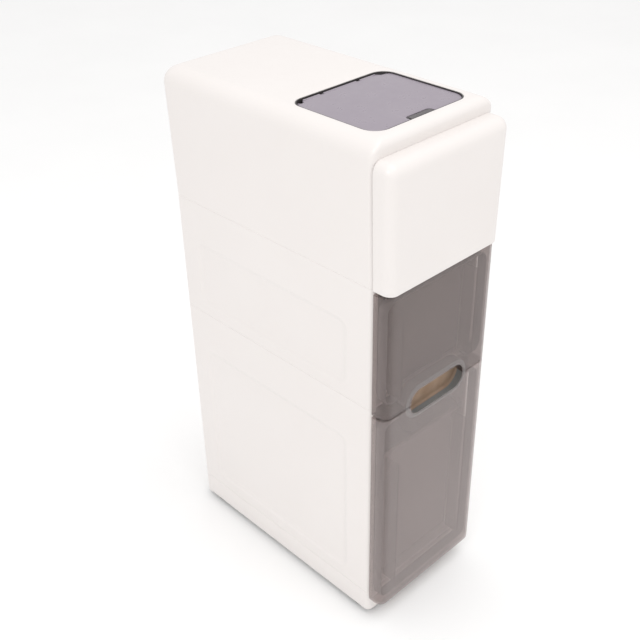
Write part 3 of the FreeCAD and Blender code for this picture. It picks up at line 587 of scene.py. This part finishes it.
# The stiffening ring inside a front: a thin wall section carried along a rounded path that stops short
# of the finger pocket, its two ends drawn in to a point.
def frontRing(name, body, foot, top, openAtTop):
    look = ringLook
    half, corner, gap = look["half"], look["corner"], look["opening"]
    turn = np.linspace(0, math.pi / 2, 9)
    closedZ, openZ = (foot, top) if openAtTop else (top, foot)
    sense = 1 if openAtTop else -1
    side = np.linspace(0, 1, 10)[1:-1]
    quarterX = [half - corner + corner * np.sin(turn), half - corner + corner * np.cos(turn)]
    quarterZ = [openZ - sense * corner * (1 - np.cos(turn)),
                closedZ + sense * corner * (1 - np.sin(turn))]
    rightX = np.concatenate([[gap, gap + look["taper"]], quarterX[0], np.full(8, half), quarterX[1]])
    rightZ = np.concatenate([[openZ, openZ], quarterZ[0],
                             quarterZ[0][-1] + (quarterZ[1][0] - quarterZ[0][-1]) * side, quarterZ[1]])
    run = np.linspace(half - corner, 0, 8)[1:]
    rightX, rightZ = np.concatenate([rightX, run]), np.concatenate([rightZ, np.full(7, closedZ)])
    pathX = np.concatenate([rightX, -rightX[::-1][1:]])
    pathZ = np.concatenate([rightZ, rightZ[::-1][1:]])
    alongX, alongZ = np.gradient(pathX), np.gradient(pathZ)
    size = np.maximum(np.hypot(alongX, alongZ), 1e-9)
    sideX, sideZ = -alongZ / size, alongX / size
    edge = look["edge"]
    thick, ahead, back = look["wall"] / 2, look["ahead"], look["back"]
    across = np.array([-thick + edge, thick - edge, thick, thick, thick - edge, -thick + edge,
                       -thick, -thick])
    depth = np.array([ahead, ahead, ahead + edge, back - edge, back, back, back - edge, ahead + edge])
    shrink = np.ones(len(pathX))
    shrink[[0, -1]] = 0
    middle = (ahead + back) / 2
    xs = pathX[None] + across[:, None] * shrink * sideX
    zs = pathZ[None] + across[:, None] * shrink * sideZ
    ys = middle + (depth[:, None] - middle) * shrink
    points = np.stack([xs, ys + 0 * xs, zs], -1).transpose(1, 0, 2)
    piece = gridPiece(name, points, closeColumns=True, flip=openAtTop)
    return settled(piece, body, rimSmoke, "smoke_clear")


# The lower front takes the lighter smoke copy, which is painted light.
drawerFront("lowerFront", "lower_front", "lower_drawer", litLowerSmoke, "smoke_clear",
            frontLook["footRound"], frontLook["splitRound"], pull="top")
drawerFront("upperFront", "upper_front", "upper_drawer", frontSmoke, "smoke_clear",
            frontLook["splitRound"], frontLook["splitRound"], pull="foot")
drawerFront("binFront", "bin_front", "bin_drawer", shellWhite, "white_shell",
            frontLook["splitRound"], frontLook["binTopRound"], flare=frontLook["binFlare"],
            rear=frontLook["binRear"])
pullPocket("lowerPocket", "lower_drawer", -1)
pullPocket("upperPocket", "upper_drawer", 1)
frontRing("lowerRing", "lower_drawer", *ringLook["lowerSpan"], True)
frontRing("upperRing", "upper_drawer", *ringLook["upperSpan"], False)
print("stage: fronts made")

tubLook = {"wall": 0.0022, "rimHalf": 0.097, "rimDrop": 0.0052, "half": 0.091, "round": 0.016,
           "footBend": 0.006, "draft": 0.0015, "rimClear": 0.0003, "rimIn": 0.0007, "rimRoll": 0.0006,
           "wallTop": 0.0012, "floorEnd": 0.0935, "cornerMore": 0.004, "cornerShrink": 0.6,
           "leastCorner": 0.0012}


# A drawer box: rows run under the flange from its edge inwards, down the drafted wall, round the foot
# bend and over the floor to its middle line.
def drawerTub(name, node, body, material):
    look = tubLook
    low, high = nodeBox(node)
    turn = np.linspace(0, math.pi / 2, 7)
    margin = look["rimHalf"] - look["half"]
    thick, under = look["wall"], high[2] - look["wall"]
    foot, bend = low[2], look["footBend"]
    wallInset = margin + look["draft"] * np.linspace(0, 1, 9)
    rimEdge = thick + look["rimClear"]
    inset = np.concatenate([[rimEdge, rimEdge, rimEdge + look["rimIn"]], wallInset[:1] - look["draft"],
                            wallInset, margin + look["draft"] + bend * (1 - np.cos(turn[1:])),
                            np.linspace(margin + look["draft"] + bend, look["floorEnd"], 6)[1:]])
    heights = np.concatenate([[high[2] - look["rimDrop"], under - look["rimRoll"]],
                              [under - hair, under - hair],
                              np.linspace(under - look["wallTop"], foot + bend, 9),
                              foot + bend * (1 - np.sin(turn[1:])), np.full(5, foot + hair)])
    radius = np.maximum(look["round"] + look["cornerMore"] - inset * look["cornerShrink"],
                        look["leastCorner"])
    xs, ys, _, _ = planLoops(look["rimHalf"] - inset, low[1] + inset, high[1] - inset, radius, radius,
                             np.maximum(look["rimHalf"] - inset - radius - 0.001, 0.0002))
    points = np.stack([xs, ys, heights[:, None] + 0 * xs], -1)
    piece = gridPiece(name, points, closeColumns=True, flip=True)
    walled(piece, look["wall"], look["rimClear"])
    return settled(piece, body, material, "smoke_box", node)


# The lower box takes the lighter smoke copy, which is painted light.
for drawer, material in (("lower", litBoxSmoke), ("upper", boxSmoke), ("bin", boxSmoke)):
    drawerTub(drawer + "Tub", drawer + "_box", drawer + "_drawer", material)
print("stage: drawer boxes made")

lidLook = {"wall": 0.003, "half": 0.0842, "front": -0.1666, "round": 0.0197, "crown": 0.0004,
           "fingerHalf": 0.0222, "fingerDepth": 0.0114, "fingerRound": 0.0053,
           "shoulderAhead": 0.0058, "shoulderAcross": 0.0077, "shoulderDeep": 0.0082,
           "narrow": 0.0693, "pivotY": -0.0262, "stripHalf": 0.0655, "stripRound": 0.0012,
           "stripBehind": 0.0022, "stripAhead": 0.0006, "stripWall": 0.00042, "stripDraw": 0.5,
           "stripEar": 0.0033, "stripEdge": 0.00012, "earSpread": 0.033, "ear": 0.0037,
           "pivotZ": 0.7755, "barrel": 0.00395, "barrelHalf": 0.060, "bore": 0.00156,
           "barrelEdge": 0.0005, "edge": 0.0007, "notchStep": 0.0005}


# The flap: columns across, each from the front edge to the rear edge, whose outlines are arcs at the
# corners and at the finger notch.
def flapLid():
    look = lidLook
    top = nodeBox("flap_lid")[1][2] - hair
    half, ahead = look["half"], look["front"]
    turn = np.linspace(0, math.pi / 2, 12)
    corner = look["round"]
    notch, bend = look["fingerHalf"], look["fingerRound"]
    past = notch + look["notchStep"]
    wing = np.concatenate([np.linspace(0, notch - bend, 5)[:-1], notch - bend + bend * np.sin(turn),
                           np.linspace(past, half - corner, 8)[:-1], half - corner + corner * np.sin(turn)])
    notched = np.arange(len(wing)) < 4 + len(turn)
    curve = ahead + corner - np.sqrt(
        np.maximum(corner**2 - np.clip(wing - half + corner, 0, corner)**2, 0))
    dip = ahead + look["fingerDepth"] - bend + np.sqrt(
        np.maximum(bend**2 - np.clip(wing - notch + bend, 0, bend)**2, 0))
    front = np.where(notched, dip, curve)
    across, deep = look["shoulderAcross"], look["shoulderDeep"]
    reach = np.clip((wing - half + across) / across, 0, 1)
    rear = look["pivotY"] - look["shoulderAhead"] - deep * (1 - np.sqrt(1 - reach**2))
    rear = np.where(wing < look["narrow"], look["pivotY"], rear)
    xs = np.concatenate([-wing[::-1], wing[1:]])
    front, rear = np.concatenate([front[::-1], front[1:]]), np.concatenate([rear[::-1], rear[1:]])
    share = np.linspace(0, 1, 30)[:, None]
    ys = front[None] + (rear - front)[None] * share
    crown = look["crown"] * (1 - (xs[None] / half)**2) * (1 - (2 * share - 1)**4)
    points = np.stack([xs[None] + 0 * ys, ys, top - look["crown"] + crown], -1)
    plate = gridPiece("flapLid", points)
    walled(plate, look["wall"] - look["crown"] * 0.5, look["edge"])
    return settled(plate, "lid", lidSmoke, "smoke_lid", "flap_lid")


# The flap's three knuckles on the pin, between the ears: a ring's profile turned about X.
def flapBarrel():
    look = lidLook
    ear, spread, half = look["ear"], look["earSpread"], look["barrelHalf"]
    radius, bore, edge = look["barrel"], look["bore"], look["barrelEdge"]
    around = np.linspace(0, 2 * math.pi, 33)[:-1]
    for number, (start, end) in enumerate(((-half, -spread - ear), (-spread + ear, spread - ear),
                                           (spread + ear, half))):
        along = np.array([start, start, start + edge * 0.3, start + edge,
                          end - edge, end - edge * 0.3, end, end])
        rings = np.array([bore, radius - edge, radius - edge * 0.3, radius, radius, radius - edge * 0.3,
                          radius - edge, bore])
        along, rings = np.concatenate([along, along[:1]]), np.concatenate([rings, rings[:1]])
        points = np.stack([along[:, None] + 0 * around[None],
                           look["pivotY"] + rings[:, None] * np.cos(around)[None],
                           look["pivotZ"] + rings[:, None] * np.sin(around)[None]], -1)
        piece = gridPiece("lidKnuckle%d" % (number + 1), points, closeColumns=True)
        settled(piece, "lid", lidSmoke, "smoke_lid")


# The strips that close the flap's top over the barrel, one between each pair of ears: a flat grid
# whose rear edge is drawn in by a part of an ellipse at both ends.
def flapStrips():
    look = lidLook
    top = nodeBox("flap_lid")[1][2] - hair
    ear, spread, half = look["stripEar"], look["earSpread"], look["stripHalf"]
    share = np.linspace(0, 1, 5)[:, None]
    for number, (start, end) in enumerate(((-half, -spread - ear), (ear - spread, spread - ear),
                                           (spread + ear, half))):
        xs = np.concatenate([start + np.linspace(0, look["stripRound"], 7), [(start + end) / 2],
                             end - np.linspace(look["stripRound"], 0, 7)])
        reach = np.clip(1 - np.minimum(xs - start, end - xs) / look["stripRound"], 0, 1)
        rear = look["pivotY"] + look["stripBehind"] * np.sqrt(1 - reach**2 * look["stripDraw"])
        front = look["pivotY"] - look["stripAhead"]
        ys = front + (rear[None] - front) * share
        points = np.stack([xs[None] + 0 * ys, ys, top + 0 * ys], -1)
        piece = gridPiece("lidStrip%d" % (number + 1), points)
        walled(piece, look["stripWall"], look["stripEdge"])
        settled(piece, "lid", lidSmoke, "smoke_lid")


# A fixed ledge under each rear corner of the flap: columns across, each from a straight front edge to
# the collar's corner arc.
def cornerLedge(name, side):
    look = ledgeLook
    turn = np.linspace(0, math.pi / 2, 10)
    arc = look["half"] - look["round"] + look["round"] * np.sin(turn)
    wing = np.concatenate([[look["start"], (look["start"] + arc[2]) / 2],
                           arc[arc > look["start"] + look["step"]]])
    reach = np.clip(wing - look["half"] + look["round"], 0, look["round"])
    rear = look["rear"] - look["round"] + np.sqrt(np.maximum(look["round"]**2 - reach**2, 0))
    share = np.linspace(0, 1, 6)[:, None]
    ys = look["front"] + (rear - look["front"])[None] * share
    points = np.stack([side * (wing[None] + 0 * ys), ys, look["top"] + 0 * ys], -1)
    piece = gridPiece(name, points, flip=side < 0)
    walled(piece, look["wall"], look["edge"])
    return settled(piece, "carcass", lidSmoke, "smoke_lid")


ledgeLook = {"start": 0.0706, "half": 0.08485, "rear": -0.02155, "round": 0.0204, "front": -0.0430,
             "top": 0.7763, "wall": 0.002, "edge": 0.0003, "step": 0.002}
flapLid()
flapBarrel()
flapStrips()
cornerLedge("leftLedge", -1)
cornerLedge("rightLedge", 1)
print("stage: lid made")

wheelLook = {"treadRound": 0.002, "hub": 0.0095, "dish": 0.0022, "bore": 0.00258, "hubEdge": 0.0008,
             "boss": (0.0052, 0.0058, 0.0064), "hubSlope": 0.0012, "sideStep": (0.0024, 0.0018),
             "step": 0.0002}


# A castor wheel: its half profile (bore, dished hub, side, rounded tread, and back) turned about X.
def castorWheel(corner):
    look = wheelLook
    low, high = nodeBox("roller_wheel_" + corner)
    centre, width, radius = (low + high) / 2, (high[0] - low[0]) / 2, (high[2] - low[2]) / 2 - hair
    turn = np.linspace(0, math.pi / 2, 6)
    bend = look["treadRound"]
    rings = np.concatenate([[look["bore"], look["bore"], *look["boss"], look["hub"],
                             look["hub"] + look["hubSlope"]], radius - bend - np.array(look["sideStep"]),
                            radius - bend + bend * np.sin(turn)])
    step, dish = look["step"], look["dish"]
    along = np.concatenate([[0, width - step, width - step, width - 2 * step, width - dish,
                             width - dish, width - 1.5 * step, width, width - step],
                            width - bend + bend * np.cos(turn)])
    rings, along = np.concatenate([rings, rings[::-1]]), np.concatenate([along, -along[::-1]])
    around = np.linspace(0, 2 * math.pi, 73)[:-1]
    points = np.stack([centre[0] + along[:, None] + 0 * around[None],
                       centre[1] + rings[:, None] * np.cos(around)[None],
                       centre[2] + rings[:, None] * np.sin(around)[None]], -1)
    pieceName = "castor" + "".join(part.capitalize() for part in corner.split("_"))
    piece = gridPiece(pieceName, points, closeColumns=True, flip=True)
    settled(piece, "wheel_" + corner, tyreRubber, "wheel_rubber", "roller_wheel_" + corner)
    piece.data.materials.append(darkPlasticAndShade)
    mesh = piece.data
    middles = np.zeros(len(mesh.polygons) * 3)
    mesh.polygons.foreach_get("center", middles)
    middles = middles.reshape(-1, 3) - centre
    onHub = np.hypot(middles[:, 1], middles[:, 2]) < look["hub"] + look["hubEdge"]
    mesh.polygons.foreach_set("material_index", onHub.astype(np.int32))
    return piece


for corner in corners:
    castorWheel(corner)
print("stage: wheels made")

backLook = {"rib": 0.0012, "ribHalf": 0.006, "bevel": 0.0025, "margin": 0.016, "wall": 0.00196,
            "behind": 0.0001, "beyond": 0.01, "flatFrom": 0.03,
            "cell": (0, 0.2, 0.32, 0.36, 0.39, 0.42, 0.45, 0.55, 0.58, 0.61, 0.64, 0.68, 0.8)}


# A rear panel: a flat grid pressed outwards in level ribs, each a smooth step of the distance to a bar.
def rearPanel(name, node, ribs):
    look = backLook
    low, high = nodeBox(node)
    spacing = (high[2] - low[2]) / ribs
    xs = np.concatenate([np.linspace(0, look["margin"] + look["beyond"], 12),
                         np.linspace(look["flatFrom"], 0.5 * (high[0] - low[0]), 6)])
    xs = np.concatenate([low[0] + xs, (high[0] - xs)[::-1][1:]])
    cell = np.array(look["cell"])
    zs = np.concatenate([(low[2] + spacing * (np.arange(ribs)[:, None] + cell[None])).ravel(), [high[2]]])
    centre = low[2] + spacing * (np.floor(np.clip((zs - low[2]) / spacing, 0, ribs - 0.001)) + 0.5)
    distance = rectangleDistance(xs[None] - (low[0] + high[0]) / 2, (zs - centre)[:, None],
                                 (high[0] - low[0]) / 2 - look["margin"], look["ribHalf"],
                                 look["ribHalf"] - look["behind"])
    raised = look["rib"] * smoothStep(-distance / look["bevel"])
    skin = high[1] - look["rib"] - look["behind"]
    points = np.stack([xs[None] + 0 * raised, skin + raised, zs[:, None] + 0 * raised], -1)
    piece = gridPiece(name, points, flip=True)
    walled(piece, look["wall"])
    return settled(piece, "carcass", shellWhite, "white_shell", node)


rearPanel("upperBack", "upper_back", 3)
rearPanel("lowerBack", "lower_back", 6)
print("stage: rear panels made")

# The CAD parts whose shapes stay as they are.
finishes = [(innerWhite, ("base_back_rail", "base_front_rail", "base_deck", "low_board", "high_board",
                          "bin_guide_left", "bin_guide_right", "bag_ring", "bin_ribs")),
            (boxSmoke, ("lower_ribs", "upper_ribs")),
            # The lid collar is near-black partly as painted shade: it stands for the shadowed gap round the
            # flap as well as the collar itself.
            (darkPlasticAndShade, ("lid_collar", "catch_cup", "tier_clips")),
            (buttonGrey, ("catch_button",)),
            (steel, ("lid_pin", "catch_spring", "lower_rail_left", "lower_rail_right", "upper_rail_left",
                     "upper_rail_right", "rail_screws"))]
finishes += [(darkPlasticAndShade, ["roller_bracket_" + corner for corner in corners]),
             (steel, ["roller_axle_" + corner for corner in corners])]
for material, names in finishes:
    for name in names:
        nodes[name].data.materials.clear()
        nodes[name].data.materials.append(material)
print("stage: CAD parts finished")

stageLook = {"floorHalf": 6.0, "floorColour": (0.985, 0.985, 0.985), "floorRough": (0.6, 0.75),
             "floorCloud": 3, "floorGrain": 20, "floorShine": 0.1, "cloudShade": 0.985,
             "skyColour": (1.0, 0.995, 0.99), "skyStrength": 0.92}
cameraLook = {"place": (-0.8624, -0.8864, 1.21165), "azimuth": -43.55, "elevation": 32.89,
              "roll": -1.16, "lens": 55.12, "sensor": 36.0, "clip": (0.02, 50)}
lamps = [{"name": "keySoft", "place": (-1.8, -0.9, 2.2), "aim": (0, 0, 0.45), "size": 1.2,
          "watts": 12.0},
         {"name": "topSoft", "place": (0.3, -0.9, 2.8), "aim": (0, 0, 0.4), "size": 2.2,
          "watts": 15.0}]


# A flat pale floor, an even sky, and disc lamps whose -Z axes point at their aims.
def makeStage():
    look = stageLook
    half = look["floorHalf"]
    floor = gridPiece("studioFloor", np.array([[[-half, -half, 0], [half, -half, 0]],
                                               [[-half, half, 0], [half, half, 0]]], float))
    material, tree, shader = newMaterial("paleFloor")
    cloud = spreadOf(tree, noiseOf(tree, look["floorCloud"], 2), 0, 1)
    pale = look["floorColour"]
    shaded = tuple(look["cloudShade"] * part for part in pale)
    tree.links.new(mixOf(tree, cloud, pale, shaded), shader.inputs["Base Color"])
    gloss = spreadOf(tree, noiseOf(tree, look["floorGrain"], 2), *look["floorRough"])
    tree.links.new(gloss, shader.inputs["Roughness"])
    shader.inputs["Specular IOR Level"].default_value = look["floorShine"]
    floor.data.materials.append(material)
    world = bpy.data.worlds.new("softSky")
    world.use_nodes = True
    sky = world.node_tree.nodes["Background"]
    sky.inputs["Color"].default_value = (*look["skyColour"], 1)
    sky.inputs["Strength"].default_value = look["skyStrength"]
    bpy.context.scene.world = world
    for lamp in lamps:
        light = bpy.data.lights.new(lamp["name"], "AREA")
        light.shape, light.size, light.energy = "DISK", lamp["size"], lamp["watts"]
        holder = bpy.data.objects.new(lamp["name"], light)
        toward = Vector(lamp["aim"]) - Vector(lamp["place"])
        turned = toward.to_track_quat("-Z", "Y").to_matrix().to_4x4()
        holder.matrix_world = Matrix.Translation(lamp["place"]) @ turned
        bpy.context.scene.collection.objects.link(holder)


# The camera's back vector comes from its azimuth and elevation; right and up follow by cross
# products, turned by the roll.
def makeCamera():
    look = cameraLook
    azimuth, elevation, roll = (math.radians(look[key]) for key in ("azimuth", "elevation", "roll"))
    back = Vector((math.sin(azimuth) * math.cos(elevation), -math.cos(azimuth) * math.cos(elevation),
                   math.sin(elevation)))
    right = Vector((0, 0, 1)).cross(back).normalized()
    up = back.cross(right)
    right, up = (right * math.cos(roll) + up * math.sin(roll), up * math.cos(roll) - right * math.sin(roll))
    data = bpy.data.cameras.new("viewCamera")
    data.lens, data.sensor_width = look["lens"], look["sensor"]
    data.clip_start, data.clip_end = look["clip"]
    camera = bpy.data.objects.new("viewCamera", data)
    turned = Matrix((right, up, back)).transposed().to_4x4()
    camera.matrix_world = Matrix.Translation(look["place"]) @ turned
    bpy.context.scene.collection.objects.link(camera)
    bpy.context.scene.camera = camera


makeStage()
makeCamera()
bpy.context.scene.view_settings.view_transform = "Standard"
bpy.context.scene.cycles.transparent_max_bounces = 20      # rays cross several tinted walls
print("stage: floor, lights and camera made")

bpy.context.view_layer.update()
